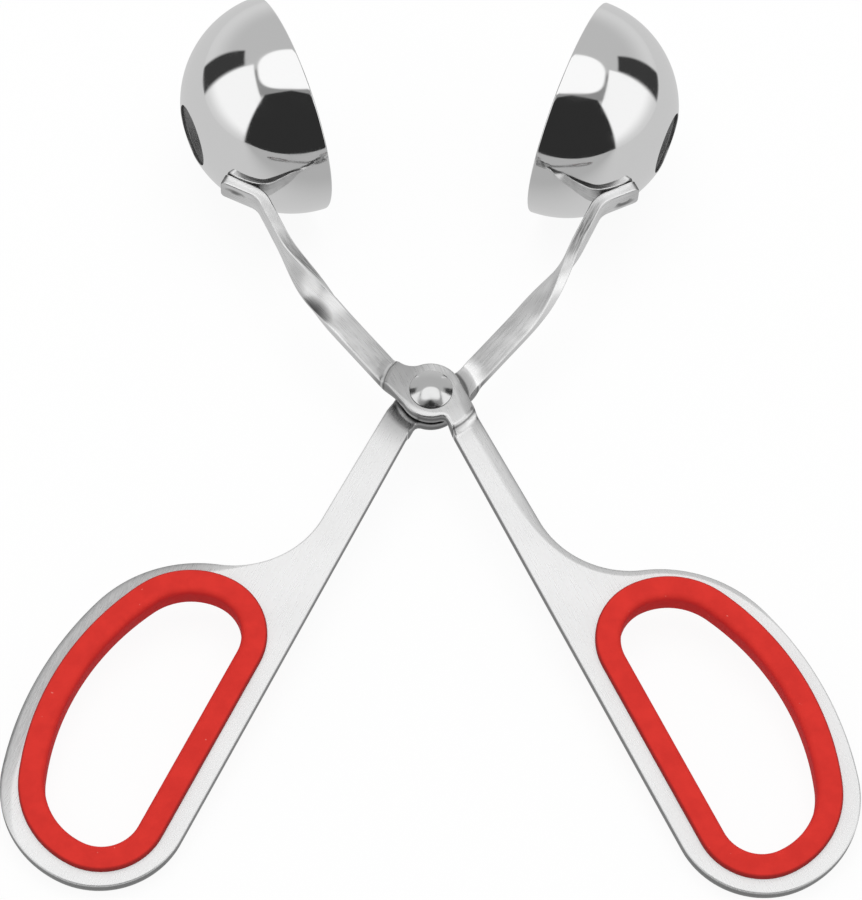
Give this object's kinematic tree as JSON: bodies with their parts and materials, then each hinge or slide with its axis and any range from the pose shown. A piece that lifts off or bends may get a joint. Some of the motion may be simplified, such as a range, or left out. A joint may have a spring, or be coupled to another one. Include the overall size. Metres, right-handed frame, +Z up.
{
  "type": "meatball maker",
  "caption": "Scissor-action meatball maker: two drained half-ball steel cups on crossed, riveted flat arms with soft-lined finger loops.",
  "frame": {"origin": "centre of the bounding box, on the table that the tool lies on", "axes": "+Y from the finger loops to the cups, +X to the right, +Z up from the table; the tool lies on its two cups and its two grips"},
  "size_m": [0.1628, 0.1951, 0.046],
  "materials": {
    "arm_steel": "satin, brushed across the edges",
    "cup_steel": "mirror polished stainless steel",
    "rivet_steel": "polished",
    "washer_steel": "satin",
    "red_grip": "matte, very fine grain"
  },
  "bodies": {
    "front_half": {"front_arm": "arm_steel", "left_cup": "cup_steel", "right_grip": "red_grip", "pivot_rivet": "rivet_steel", "pivot_washer": "washer_steel"},
    "back_half": {"back_arm": "arm_steel", "right_cup": "cup_steel", "left_grip": "red_grip"}
  },
  "joints": [
    {"name": "pivot", "type": "hinge", "parent": "front_half", "child": "back_half", "pos_m": [0, 0.00763, 0.01481], "axis": [0, -0.1184, 0.993], "range_deg": [-2.5, 45]}
  ]
}
